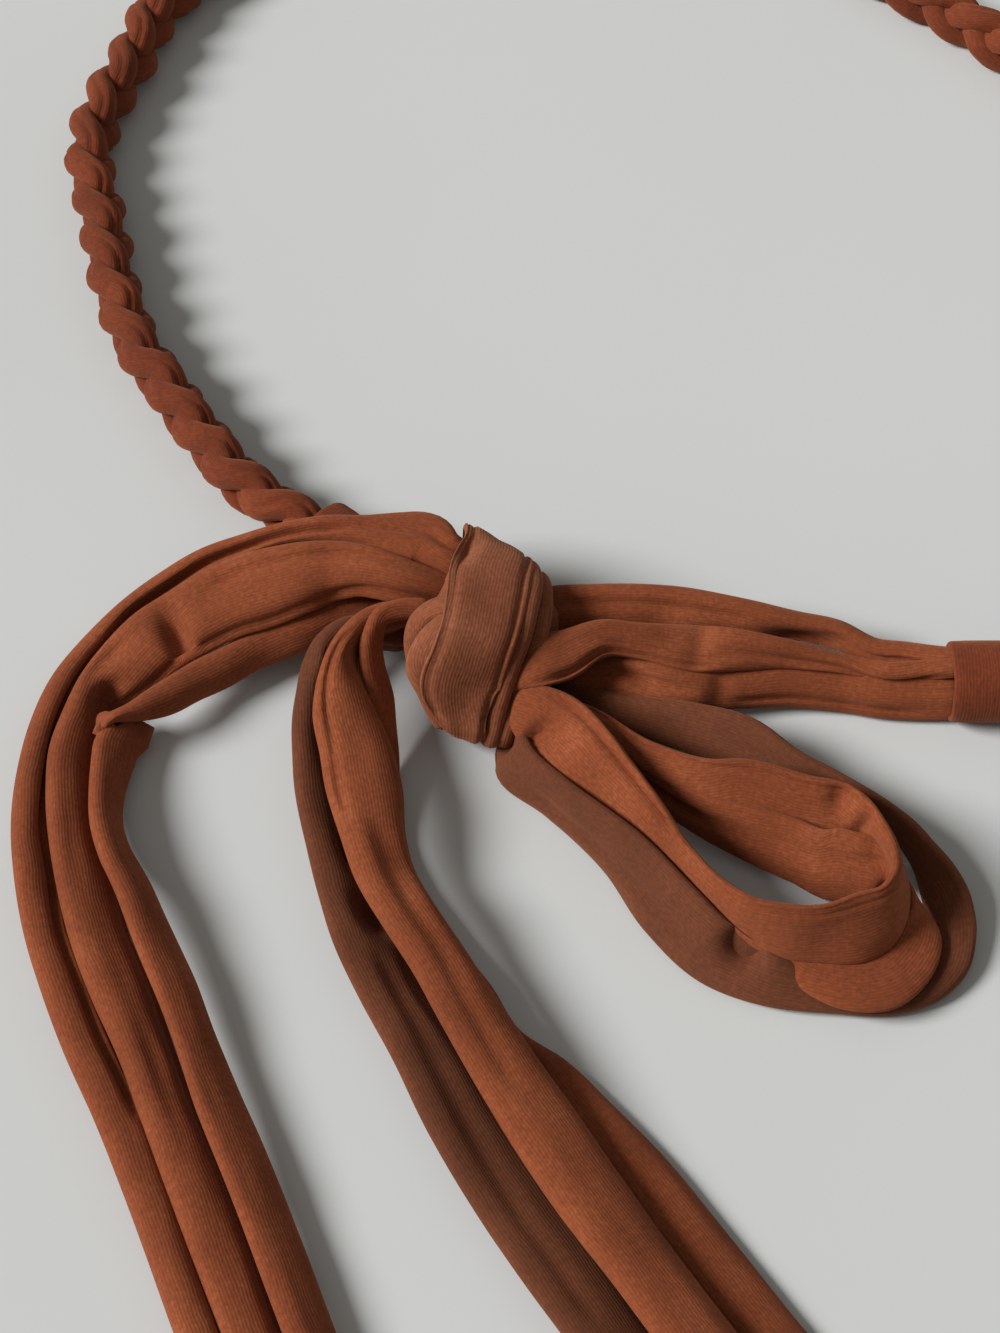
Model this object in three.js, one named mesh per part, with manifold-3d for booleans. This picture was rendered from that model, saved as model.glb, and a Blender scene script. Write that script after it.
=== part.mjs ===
// A braided jersey belt, lying on a flat surface and tied in a half bow. Millimetres, +Z up.
// Three soft jersey strips are braided round the waist. A wound collar holds each end of the
// braid, and past the collars the strips run on as loose ties to the knot, the bow loop and
// the two bundles of tails.
import * as THREE from 'three';
import { mergeVertices } from 'three/addons/utils/BufferGeometryUtils.js';
import Module from 'manifold-3d';

const wasm = await Module();
wasm.setup();

// Driving dimensions
const stripGap = 0.3; // clear space between soft pieces that lie against each other
const strandWide = 3.6; // one braided strand, rolled up by the jersey's own curl
const strandThick = 3.6;
const strandTwist = 58; // degrees that its flat side turns to either side of level
const strandSides = 5;
const braidPeriod = 39; // length in which a strand comes back to the same side
const braidSwing = 3.9; // how far a strand's middle line swings to either side
const braidLift = 3.5; // how far it rises and dips
const braidRoll = 68; // degrees that the whole braid lies rolled to its right
const strandSteps = 12; // sections in one period of a strand
const collarOuter = { deep: 17, high: 15.6 };
const collarInner = { deep: 14, high: 13.4 };
const collarLong = 16;
const collarBevel = 2; // length over which the outside falls away at each mouth
const collarLip = 1; // length over which the inside opens at each mouth
const collarMouth = 0.15; // how far out the mouth's rim lies, between inside and outside
const collarSides = 14;
const collars = {
  collar_left: {
    middle: new THREE.Vector3(-33, 24, 7.5),
    ahead: new THREE.Vector3(0.72, -0.69, 0).normalize(),
  },
  collar_right: {
    middle: new THREE.Vector3(100, -9, 7.5),
    ahead: new THREE.Vector3(1, 0, 0),
  },
};
const knotMiddle = { y: -1, z: 14.6 };
const knotOuter = { deep: 50, high: 30 }; // over the wrapped band
const bandThick = 3.2;
const bandSides = 8;
const bandSteps = 18;
const coreSides = 12;
const stripSides = 6;

// Where the group's origin lies in the layout below: under the middle of its box
const layoutMiddle = { x: 29.9, y: 48.5 };

// The layout: x to the right, y away from the viewer, z up from the surface.
// Middle line of the braid, from inside the left collar round the waist to the right collar
const braidColumns = ['x', 'y', 'z'];
const braidRoute = [
  [-34.5, 25.4, 7.5],
  [-49, 38, 7],
  [-56, 44, 6.6],
  [-63, 54, 6.4],
  [-70, 64.5, 6.4],
  [-76, 74.5, 6.4],
  [-82, 84, 6.4],
  [-86.5, 96, 6.4],
  [-89, 103.5, 6.4],
  [-93.5, 123.5, 6.4],
  [-98.5, 144.5, 6.4],
  [-98, 155.5, 6.4],
  [-95.5, 166.5, 6.4],
  [-92, 176.5, 6.4],
  [-84, 201, 6.4],
  [-46, 243, 6.4],
  [-8, 254, 6.4],
  [32, 251, 6.4],
  [68, 236, 6.4],
  [97, 211, 6.4],
  [127, 182, 6.4],
  [147, 150, 6.4],
  [157, 112, 6.4],
  [156, 72, 6.4],
  [146, 34, 6.4],
  [133, 9, 6.4],
  [121, -4, 6.6],
  [110.5, -9, 7.5],
  [102, -9, 7.5],
];

// Loose strips. One row for each place where a strip turns, folds or changes width:
// its middle, its width and thickness, and its lean in degrees, the right-hand edge up.
// Where two of them meet, the later one is pressed in by the earlier one.
const stripColumns = ['x', 'y', 'z', 'wide', 'thick', 'lean'];
const stripRoutes = {
  tail_left_1: [
    [-3, 14, 17, 8, 4.5, 10],
    [-12, 17, 18.5, 11, 5, 8],
    [-20, 20, 18.5, 13, 5, 5],
    [-30, 22, 18, 10, 5.5, 5],
    [-42, 23, 16, 7, 5.5, 10],
    [-54, 22, 12, 6, 6, 15],
    [-66, 17, 8.5, 6, 6, 20],
    [-77, 9, 5.5, 6, 6, 20],
    [-87, -4, 3.4, 6, 6, 30],
    [-94, -24, 3.4, 7, 6, 40],
    [-94, -44, 3.4, 8, 5, 35],
    [-88, -66, 3, 9, 5, 20],
    [-76, -94, 2.5, 9, 5, 10],
    [-61, -129, 2.5, 8, 5, 10],
    [-49, -158, 2.5, 8, 5, 10],
  ],
  tail_left_2: [
    [-4, 8, 13, 6, 4.5, 20],
    [-12, 8, 16, 6, 5, 22],
    [-20, 9, 17.5, 8, 5, 25],
    [-32, 12, 17.5, 10, 5, 25],
    [-44, 12, 15, 13, 5, 20],
    [-56, 8, 12, 15, 5, 18],
    [-68, 1, 9, 14, 5, 22],
    [-78, -8, 6, 11, 5, 35],
    [-84, -20, 4.4, 9, 5, 42],
    [-85, -34, 4.4, 10, 5, 42],
    [-81, -54, 4, 11, 5, 30],
    [-70, -84, 3.4, 11, 5, 22],
    [-56, -118, 2.8, 10, 5, 15],
    [-39, -158, 2.6, 9, 5, 12],
  ],
  tail_left_3: [
    [-12, 7, 8, 6, 4.5, 30],
    [-22, 7, 9, 6, 5, 35],
    [-36, 3, 11, 9, 5, 40],
    [-50, -3, 11, 10, 5, 40],
    [-64, -11, 8.5, 9, 5, 38],
    [-74, -17, 6.5, 11, 5, 42],
    [-78, -27, 6, 12, 5, 52],
    [-78, -42, 6.8, 8, 5, 52],
    [-71.5, -59, 7, 8.5, 5, 48],
    [-60.5, -83, 7, 9, 5, 42],
    [-49, -110, 6.4, 9, 5, 38],
    [-29, -157, 5.8, 9, 5, 30],
  ],
  tail_centre_2: [
    [-12, 6, 12, 5, 4.5, 50],
    [-22, 4, 13, 6, 5, 45],
    [-29, -3, 14, 7, 5, 35],
    [-32.4, -14, 14, 9, 5, 20],
    [-29.5, -28, 11.6, 13, 5, 15],
    [-26, -43, 12, 13, 5, 18],
    [-22, -57, 11.8, 12, 5, 20],
    [-15, -70, 11.5, 11, 5, 20],
    [-3, -91, 10.8, 13, 5, 18],
    [10, -113, 9, 14, 5, 14],
    [25, -135, 8.8, 14, 5, 12],
    [40.5, -158, 8.8, 14, 5, 12],
  ],
  tail_centre_3: [
    [-10, 2, 14, 5, 4.5, 40],
    [-18, 2, 15, 5, 4.5, 45],
    [-24, -2, 14, 6, 4.5, 50],
    [-25, -10, 10, 8, 4.5, 50],
    [-23, -20, 6, 7, 4.5, 45],
    [-22.5, -32, 2.6, 5, 3.6, 10],
    [-22, -44, 1.9, 5, 3.5, 5],
    [-15, -62, 1.9, 6, 3.5, 5],
    [-2, -82, 1.9, 8, 3.5, 5],
    [12, -98, 2.3, 10, 4, 4],
    [29, -120, 2.4, 12, 4.5, 4],
    [55.5, -157, 2.4, 12, 4.5, 4],
  ],
  tail_centre_1: [
    [-14, 4, 5, 5, 4.5, 20],
    [-24, 3, 5, 5, 4.5, 20],
    [-32, 1, 6, 5, 4.5, 30],
    [-38, -7, 6, 6, 4.5, 50],
    [-39, -19, 6, 8, 4.5, 45],
    [-37, -34, 5, 9, 4.5, 40],
    [-33.5, -50, 4.6, 9, 4.5, 35],
    [-27.5, -65, 4.4, 11, 4.5, 28],
    [-17.5, -86, 4.2, 12, 4.5, 24],
    [-4, -111, 4.2, 13, 4.5, 22],
    [11, -135, 4.2, 14, 4.5, 20],
    [25.5, -158, 4.2, 14, 4.5, 20],
  ],
  loop_1: [
    [2, -16, 13, 9, 4, -45],
    [11, -26, 14, 14, 4, -45],
    [22, -39, 14, 13, 4, -50],
    [34, -54, 14, 11, 4, -55],
    [45, -66, 14, 11, 4, -60],
    [58, -71, 14, 12, 4, -62],
    [70, -69, 14, 12, 4, -68],
    [77, -60, 14, 12, 4, -85],
    [74, -49, 14, 11, 4, -110],
    [64, -42, 13.5, 11, 4, -130],
    [47, -36.5, 12.5, 13, 4, -140],
    [30, -29, 12.5, 12, 4, -135],
    [12, -16, 13.5, 9, 4, -120],
  ],
  loop_3: [
    [-1, -22, 5, 8, 4, -60],
    [8, -37, 5.5, 10, 4, -65],
    [22, -53, 6, 12, 4, -60],
    [38, -71, 6, 13, 4, -58],
    [54, -80, 6, 12, 4, -70],
    [74, -82, 6, 11, 4, -76],
    [89, -75, 6, 11, 4, -72],
    [91, -62, 6, 11, 4, -84],
    [82, -46, 6, 11, 4, -90],
    [66, -32, 6, 10, 4, -90],
    [46, -18, 6, 9, 4, -90],
    [28, -12, 6, 8, 4, -90],
    [12, -6, 6, 7, 4, -90],
  ],
  loop_2: [
    [2, -19, 5.5, 8, 4, -50],
    [13, -31, 6, 10, 4, -50],
    [25, -46, 6, 11, 4, -50],
    [38, -61, 6, 11, 4, -55],
    [51, -74, 6.5, 12, 4, -58],
    [68, -79, 6.5, 12, 4, -62],
    [81, -74, 6.5, 11, 4, -72],
    [83, -64, 6.5, 11, 4, -90],
    [77, -56, 6.5, 12, 4, -115],
    [66, -51.5, 6, 12, 4, -138],
    [47, -45, 5, 8.5, 4, -140],
    [30, -35, 5, 7, 4, -135],
    [10, -15, 6, 6, 4, -120],
  ],
  right_tie_2: [
    [4, -13, 17, 6, 4.5, -55],
    [12, -8, 17, 8, 4.5, -55],
    [24, -4, 14, 8, 4.5, -55],
    [38, -4, 11.5, 9, 4.5, -42],
    [52, -4.5, 10, 8, 4.5, -42],
    [66, -6, 9, 6, 4, -40],
    [82, -8.5, 9, 4.5, 4, -30],
    [95, -10, 10, 4.5, 4, -20],
  ],
  right_tie_1: [
    [4, 6, 12, 7, 4.5, -35],
    [20, 6, 12, 8, 4.5, -35],
    [40, 6, 11, 8, 4.5, -37],
    [54, 4.5, 9, 7, 4.5, -45],
    [68, 2.5, 8, 6, 5, -50],
    [82, -2.5, 9, 5, 4, -30],
    [95, -6.2, 9.4, 4.5, 4, -30],
  ],
  right_tie_3: [
    [6, -15, 11, 5, 4.5, -60],
    [20, -10, 9, 6, 4.5, -60],
    [34, -11, 6.5, 7, 4.5, -45],
    [48, -10.5, 4.5, 8, 4.5, -45],
    [62, -10, 4, 8, 4.5, -45],
    [78, -11.5, 4, 8, 4.5, -40],
    [95, -9, 5, 6, 4, -20],
  ],
  left_tie_1: [
    [-31, 27, 9.5, 5, 4, 0],
    [-25, 20, 9, 5, 4, 0],
    [-16, 12, 10, 5, 4, 0],
  ],
  left_tie_2: [
    [-34, 22, 9, 4, 4, 0],
    [-26, 15, 8, 5, 4, 0],
    [-15, 5, 9, 5, 4, 0],
  ],
  left_tie_3: [
    [-33, 24, 5, 5, 4, 0],
    [-25, 17, 4, 5, 4, 0],
    [-14, 8, 5, 5, 4, 0],
  ],
};

const stripSteps = { left_tie: 4, right_tie: 9, tail_left: 18, tail_centre: 16, loop: 20 };
const stripColours = {
  left_tie: 0x7a3f27,
  right_tie: 0x7a3f27,
  tail_left: 0x8a4a2c,
  tail_centre: 0x8a4a2c,
  loop: 0x85452a,
};

// Core of the knot: its inner turns, as sections across x from the left lobe to the right
const coreColumns = ['x', 'y', 'z', 'deep', 'high'];
const coreSections = [
  [-21, -4, 11, 6, 5],
  [-19, -4, 11, 15, 11],
  [-15, -3, 12, 22, 15],
  [-11, -1, 14, 33, 20],
  [-8, -1, 15, 41, 21.4],
  [13, -1, 15, 41, 21.4],
  [17, -1, 14, 30, 17],
  [20, -2, 13, 16, 10],
];

// Bands wrapped round the core: place of the band's middle along x at the top and at the
// bottom of its turn, and its width
const bandColumns = ['name', 'xTop', 'xBottom', 'wide'];
const bands = [
  ['knot_wrap_1', -1, -9, 16],
  ['knot_wrap_2', 9, 1, 3.4],
  ['knot_wrap_3', 12.8, 4.8, 3.6],
];

// Turns a row of numbers into an object with named columns
function named(columns, row) {
  return Object.fromEntries(columns.map((name, k) => [name, row[k]]));
}

function jersey(colour) {
  return new THREE.MeshStandardMaterial({ color: colour, roughness: 0.95, metalness: 0 });
}

// A closed body lofted through rings that all have the same number of points
function loft(rings, closed = false, floor = 0) {
  const sides = rings[0].length;
  const points = rings.flat();
  const faces = [];
  const links = closed ? rings.length : rings.length - 1;
  for (let r = 0; r < links; r += 1) {
    const here = r * sides;
    const next = ((r + 1) % rings.length) * sides;
    for (let k = 0; k < sides; k += 1) {
      const l = (k + 1) % sides;
      faces.push(here + k, here + l, next + l);
      faces.push(here + k, next + l, next + k);
    }
  }
  if (!closed) {
    const last = (rings.length - 1) * sides;
    for (let k = 1; k < sides - 1; k += 1) {
      faces.push(0, k + 1, k);
      faces.push(last, last + k, last + k + 1);
    }
  }
  const geometry = new THREE.BufferGeometry();
  const positions = points.flatMap((p) => [p.x, p.y, Math.max(p.z, floor)]);
  geometry.setAttribute('position', new THREE.Float32BufferAttribute(positions, 3));
  geometry.setIndex(faces);
  return geometry;
}

// One soft oval section: centre, its width along one direction and thickness along the other
function section(centre, across, up, wide, thick, sides) {
  const ring = [];
  for (let k = 0; k < sides; k += 1) {
    const angle = (2 * Math.PI * (k + 0.5)) / sides;
    const reach = 1 / Math.cos(Math.PI / sides) ** 0.5;
    ring.push(
      centre
        .clone()
        .addScaledVector(across, (wide / 2) * reach * Math.cos(angle))
        .addScaledVector(up, (thick / 2) * reach * Math.sin(angle)),
    );
  }
  return ring;
}

// Smooth value between the rows of a table column
function between(rows, column, at) {
  const place = at * (rows.length - 1);
  const low = Math.min(Math.floor(place), rows.length - 2);
  const share = THREE.MathUtils.smoothstep(place - low, 0, 1);
  return THREE.MathUtils.lerp(rows[low][column], rows[low + 1][column], share);
}

function routeCurve(rows) {
  return new THREE.CatmullRomCurve3(
    rows.map((row) => new THREE.Vector3(row.x, row.y, row.z)),
    false,
    'centripetal',
  );
}

const upright = new THREE.Vector3(0, 0, 1);

// A loose strip through its table's rows
function strip(table, steps, grow = 0) {
  const rows = table.map((row) => named(stripColumns, row));
  const curve = routeCurve(rows);
  const rings = [];
  for (let i = 0; i <= steps; i += 1) {
    const at = i / steps;
    const ahead = curve.getTangent(at);
    const right = new THREE.Vector3().crossVectors(ahead, upright).normalize();
    const face = new THREE.Vector3().crossVectors(right, ahead);
    const lean = THREE.MathUtils.degToRad(between(rows, 'lean', at));
    const across = right.clone().multiplyScalar(Math.cos(lean)).addScaledVector(face, Math.sin(lean));
    const up = new THREE.Vector3().crossVectors(across, ahead);
    const wide = between(rows, 'wide', at) + 2 * grow;
    const thick = between(rows, 'thick', at) + 2 * grow;
    const centre = curve.getPoint(at);
    if (i === 0 || i === steps) {
      centre.addScaledVector(ahead, i === 0 ? -grow : grow);
    }
    rings.push(section(centre, up, across, thick, wide, stripSides));
  }
  return loft(rings, false, -grow);
}

// One strand of the braid: it swings from side to side while it rises and dips twice
function strand(turn) {
  const curve = routeCurve(braidRoute.map((row) => named(braidColumns, row)));
  const turns = curve.getLength() / braidPeriod;
  const first = Math.ceil(turn * strandSteps);
  const last = Math.floor((turn + turns) * strandSteps);
  const roll = THREE.MathUtils.degToRad(braidRoll);
  const middles = [];
  const normals = [];
  for (let i = first; i <= last; i += 1) {
    const at = (i / strandSteps - turn) / turns;
    const ahead = curve.getTangentAt(at);
    const level = new THREE.Vector3().crossVectors(ahead, upright).normalize();
    const right = level.clone().applyAxisAngle(ahead, roll);
    const face = new THREE.Vector3().crossVectors(right, ahead);
    const phase = (2 * Math.PI * i) / strandSteps;
    const spread = THREE.MathUtils.degToRad(strandTwist) * Math.cos(phase);
    middles.push(
      curve
        .getPointAt(at)
        .addScaledVector(right, braidSwing * Math.sin(phase))
        .addScaledVector(face, braidLift * Math.sin(2 * phase)),
    );
    normals.push(
      right.clone().multiplyScalar(Math.cos(spread)).addScaledVector(face, Math.sin(spread)),
    );
  }
  const rings = middles.map((middle, i) => {
    const before = middles[Math.max(i - 1, 0)];
    const after = middles[Math.min(i + 1, middles.length - 1)];
    const ahead = new THREE.Vector3().subVectors(after, before).normalize();
    const across = new THREE.Vector3().crossVectors(ahead, normals[i]).normalize();
    const up = new THREE.Vector3().crossVectors(across, ahead);
    return section(middle, up, across, strandThick, strandWide, strandSides);
  });
  return loft(rings);
}

// A wound collar: a short oval sleeve whose middle and direction are given
function collar({ middle, ahead }, grow = 0) {
  const right = new THREE.Vector3().crossVectors(ahead, upright).normalize();
  const end = collarLong / 2;
  const profile = [
    [-end, collarMouth],
    [-end + collarBevel, 1],
    [end - collarBevel, 1],
    [end, collarMouth],
    [end - collarLip, 0],
    [-end + collarLip, 0],
  ];
  const rings = [];
  for (let k = 0; k < collarSides; k += 1) {
    const angle = (2 * Math.PI * k) / collarSides;
    rings.push(
      profile.map(([along, out]) => {
        const deep = THREE.MathUtils.lerp(collarInner.deep, collarOuter.deep, out) / 2;
        const high = THREE.MathUtils.lerp(collarInner.high, collarOuter.high, out) / 2;
        const swell = out > 0.5 ? grow : -grow;
        return middle
          .clone()
          .addScaledVector(ahead, along + Math.sign(along) * grow)
          .addScaledVector(right, (deep + swell) * Math.cos(angle))
          .addScaledVector(upright, (high + swell) * Math.sin(angle));
      }),
    );
  }
  return loft(rings, true, -grow);
}

function core(grow = 0) {
  const rings = coreSections.map((row) => {
    const { x, y, z, deep, high } = named(coreColumns, row);
    const centre = new THREE.Vector3(x + Math.sign(x) * grow, y, z);
    const away = new THREE.Vector3(0, 1, 0);
    return section(centre, away, upright, deep + 2 * grow, high + 2 * grow, coreSides);
  });
  return loft(rings);
}

// A band wrapped once round the core
function band(row, grow = 0) {
  const { xTop, xBottom, wide } = named(bandColumns, row);
  const rings = [];
  for (let i = 0; i < bandSteps; i += 1) {
    const angle = (2 * Math.PI * i) / bandSteps;
    const slant = THREE.MathUtils.lerp(xBottom, xTop, (1 + Math.sin(angle)) / 2);
    const out = new THREE.Vector3(0, Math.cos(angle), Math.sin(angle));
    const radius = new THREE.Vector3(
      0,
      (knotOuter.deep / 2 - bandThick / 2) * Math.cos(angle),
      (knotOuter.high / 2 - bandThick / 2) * Math.sin(angle),
    );
    const centre = new THREE.Vector3(slant, knotMiddle.y, knotMiddle.z).add(radius);
    const along = new THREE.Vector3(1, 0, 0);
    rings.push(section(centre, along, out, wide + 2 * grow, bandThick + 2 * grow, bandSides));
  }
  return loft(rings, true, -grow);
}

// Solid of a mesh with only positions and shared vertices
function solid(geometry) {
  const bare = geometry.clone();
  bare.deleteAttribute('normal');
  bare.deleteAttribute('uv');
  const merged = mergeVertices(bare);
  return new wasm.Manifold(
    new wasm.Mesh({
      numProp: 3,
      vertProperties: new Float32Array(merged.attributes.position.array),
      triVerts: new Uint32Array(merged.index.array),
    }),
  );
}

function geometryOf(body) {
  const mesh = body.getMesh();
  const geometry = new THREE.BufferGeometry();
  geometry.setAttribute('position', new THREE.Float32BufferAttribute(mesh.vertProperties, 3));
  geometry.setIndex(Array.from(mesh.triVerts));
  return geometry;
}

// The body left when grown copies of the pieces already laid are taken out of it
function pressedBy(body, neighbours) {
  let left = body;
  for (const neighbour of neighbours) {
    if (left.intersect(neighbour).volume() > 0) {
      left = left.subtract(neighbour);
    }
  }
  return left.decompose().sort((a, b) => b.volume() - a.volume())[0];
}

const belt = new THREE.Group();
const laid = [];

// Adds a piece from its maker, which takes the amount to grow the piece by
function addPiece(name, make, colour) {
  const body = pressedBy(solid(make(0)), laid);
  laid.push(solid(make(stripGap)));
  const mesh = new THREE.Mesh(geometryOf(body), jersey(colour));
  mesh.name = name;
  belt.add(mesh);
}

addPiece('knot_core', core, 0x6b3723);
for (const row of bands) {
  addPiece(row[0], (grow) => band(row, grow), 0x7d4a34);
}
for (const [name, place] of Object.entries(collars)) {
  addPiece(name, (grow) => collar(place, grow), 0x7d4229);
}
for (const [name, table] of Object.entries(stripRoutes)) {
  const family = name.slice(0, name.lastIndexOf('_'));
  addPiece(name, (grow) => strip(table, stripSteps[family], grow), stripColours[family]);
}
for (let k = 0; k < 3; k += 1) {
  const mesh = new THREE.Mesh(strand(k / 3), jersey(0x7d4229));
  mesh.name = `braid_strand_${k + 1}`;
  belt.add(mesh);
}

belt.position.set(-layoutMiddle.x, -layoutMiddle.y, 0);

export default belt;
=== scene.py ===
# Looks of a braided jersey belt, tied in a half bow and laid on a pale surface.
import math
from functools import partial
import bmesh
import bpy
import numpy as np
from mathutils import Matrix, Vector


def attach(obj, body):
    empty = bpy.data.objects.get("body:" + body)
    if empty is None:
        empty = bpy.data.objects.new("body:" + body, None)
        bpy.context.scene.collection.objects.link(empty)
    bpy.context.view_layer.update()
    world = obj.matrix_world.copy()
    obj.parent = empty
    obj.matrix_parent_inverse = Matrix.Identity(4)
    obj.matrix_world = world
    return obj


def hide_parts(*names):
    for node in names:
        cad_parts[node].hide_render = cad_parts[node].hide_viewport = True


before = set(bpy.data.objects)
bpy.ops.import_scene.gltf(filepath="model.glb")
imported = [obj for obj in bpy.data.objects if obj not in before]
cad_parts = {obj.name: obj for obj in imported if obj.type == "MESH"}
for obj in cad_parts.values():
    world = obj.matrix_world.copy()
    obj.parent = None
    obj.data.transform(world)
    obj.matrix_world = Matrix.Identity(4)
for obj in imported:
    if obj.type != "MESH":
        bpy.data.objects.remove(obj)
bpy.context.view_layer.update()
scene = bpy.context.scene

# The tables below are in millimetres, drawn round a point under the knot.
# The part's own origin is under the middle of its box.
mm = 0.001
layoutMiddle = np.array([29.9, 48.5, 0.0])


def placed(points):
    return (np.asarray(points, float) - layoutMiddle) * mm


# A 70 mm lens that looks 55 degrees down, both judged from the photo
view = {"lens": 70, "up": 55, "pixelSize": 0.21, "photoHeight": 1333, "sensor": 36}


def makeCamera():
    away = view["pixelSize"] * view["lens"] / view["sensor"] * view["photoHeight"]
    tip = math.radians(view["up"])
    data = bpy.data.cameras.new("camera")
    data.lens = view["lens"]
    data.sensor_width = view["sensor"]
    data.clip_start = 0.01
    camera = bpy.data.objects.new("camera", data)
    camera.location = placed((0, -away * math.cos(tip), away * math.sin(tip)))
    camera.rotation_euler = (math.pi / 2 - tip, 0, 0)
    scene.collection.objects.link(camera)
    scene.camera = camera


makeCamera()


def linear(code):
    values = [int(code[i:i + 2], 16) / 255 for i in (1, 3, 5)]
    return [v / 12.92 if v <= 0.04045 else ((v + 0.055) / 1.055) ** 2.4 for v in values] + [1]


# Adds a node with its settings. Its inputs come in order or by name, as values, sockets or nodes.
def addNode(tree, kind, inputs=(), **settings):
    node = tree.nodes.new(kind)
    for name, value in settings.items():
        setattr(node, name, value)
    for name, value in inputs.items() if isinstance(inputs, dict) else enumerate(inputs):
        socket = node.inputs[name]
        value = value.outputs[0] if isinstance(value, bpy.types.Node) else value
        if isinstance(value, bpy.types.NodeSocket):
            tree.links.new(value, socket)
        else:
            socket.default_value = value
    return node


# Cotton jersey, knitted fine and brushed by wear: matt, with a little fuzz that lightens it at a
# glancing look. Its wales run along each strip. The belt's size rests on taking the real ones as
# about 0.57 mm apart; they are drawn at 0.66 mm, because finer ones don't show in a picture of it.
jersey = {
    "wale": 0.66,  # mm
    "stitch": 1.1,  # mm along the strip
    "depth": 0.16,  # mm
    "fuzz": 0.45,
    "bump": 0.25,
    "sheenTint": "#d9906a",
    "surface": {"Roughness": 0.92, "Specular IOR Level": 0.25, "Sheen Weight": 0.28, "Sheen Roughness": 0.55},
}
uvUnit = 10  # mm of cloth in one unit of the UV map


def jerseyMaterial(name, dark, middle, pale):
    material = bpy.data.materials.new(name)
    material.use_nodes = True
    tree = material.node_tree
    add = partial(addNode, tree)
    cloth = add("ShaderNodeUVMap", uv_map="UVMap")
    spot = add("ShaderNodeTexCoord").outputs["Object"]
    split = add("ShaderNodeSeparateXYZ", (cloth,)).outputs
    drift = add("ShaderNodeTexNoise", {"Vector": cloth, "Scale": 1.2, "Detail": 2})
    wander = add("ShaderNodeMath", (drift, 0.12), operation="MULTIPLY")
    across = add("ShaderNodeMath", (split[0], wander), operation="ADD")
    turn = 2 * math.pi * uvUnit
    angle = add("ShaderNodeMath", (across, turn / jersey["wale"]), operation="MULTIPLY")
    wale = add("ShaderNodeMath", (angle,), operation="SINE")
    ridge = add("ShaderNodeMath", (wale, 0.5, 0.5), operation="MULTIPLY_ADD")
    bend = add("ShaderNodeMath", (wale, 1.3), operation="MULTIPLY")
    angle = add("ShaderNodeMath", (split[1], turn / jersey["stitch"], bend), operation="MULTIPLY_ADD")
    row = add("ShaderNodeMath", (angle,), operation="SINE")
    loops = add("ShaderNodeMath", (row, 0.16, 0.84), operation="MULTIPLY_ADD")
    knit = add("ShaderNodeMath", (ridge, loops), operation="MULTIPLY")
    # Heather: each yarn is spun from fibres of slightly different browns
    grain = add("ShaderNodeMapping", {"Vector": cloth, "Scale": (7, 5, 1)})
    heather = add("ShaderNodeTexNoise", {"Vector": grain, "Scale": 1.6, "Detail": 4, "Roughness": 0.65})
    cloud = add("ShaderNodeTexNoise", {"Vector": spot, "Scale": 55, "Detail": 3})
    cloud = add("ShaderNodeMath", (cloud, 0.6, -0.16), operation="MULTIPLY_ADD")
    tone = add("ShaderNodeMath", (heather, 0.7, cloud), operation="MULTIPLY_ADD")
    tone = add("ShaderNodeMath", (tone, 0.05), operation="SUBTRACT")
    # The knit's grooves are drawn a little darker than its ridges: painted shade.
    tone = add("ShaderNodeMath", (knit, 0.1, tone), operation="MULTIPLY_ADD")
    colours = add("ShaderNodeValToRGB", {"Fac": tone})
    ramp = colours.color_ramp
    ramp.elements[0].position = 0.2
    ramp.elements[0].color = linear(dark)
    ramp.elements[1].position = 0.85
    ramp.elements[1].color = linear(pale)
    ramp.elements.new(0.52).color = linear(middle)
    fibres = add("ShaderNodeTexNoise", {"Vector": spot, "Scale": 2600, "Detail": 2})
    height = add("ShaderNodeMath", (fibres, jersey["fuzz"], knit), operation="MULTIPLY_ADD")
    bump = add("ShaderNodeBump", {"Height": height, "Strength": jersey["bump"],
                                  "Distance": jersey["depth"] * mm})
    shader = tree.nodes["Principled BSDF"]
    tree.links.new(colours.outputs[0], shader.inputs["Base Color"])
    tree.links.new(bump.outputs[0], shader.inputs["Normal"])
    for label, value in jersey["surface"].items():
        shader.inputs[label].default_value = value
    shader.inputs["Sheen Tint"].default_value = linear(jersey["sheenTint"])
    return material


# One cloth drawn in four tones after the light or shade on each part: the braid and two strips that lie in
# shade are drawn darker, as painted shade.
materials = {
    "braid_jersey": jerseyMaterial("braidJersey", "#4c1d0e", "#6a2e16", "#854023"),
    "loose_jersey": jerseyMaterial("looseJersey", "#5c2a15", "#7f3f22", "#9d5a39"),
    "painted_shade_jersey": jerseyMaterial("paintedShadeJersey", "#442313", "#5f321d", "#79452d"),
    "knot_jersey": jerseyMaterial("knotJersey", "#5e2b17", "#7d462d", "#9b6349"),
}
print("materials: ready")


def softNoise(x, y, seed):
    lattice = np.random.RandomState(seed).rand(128, 128) * 2 - 1
    column, line = np.floor(x).astype(int), np.floor(y).astype(int)
    fx, fy = x - column, y - line
    fx, fy = fx * fx * (3 - 2 * fx), fy * fy * (3 - 2 * fy)
    column, line = column % 128, line % 128
    right, above = (column + 1) % 128, (line + 1) % 128
    low = lattice[column, line] * (1 - fx) + lattice[right, line] * fx
    high = lattice[column, above] * (1 - fx) + lattice[right, above] * fx
    return low * (1 - fy) + high * fy


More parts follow.
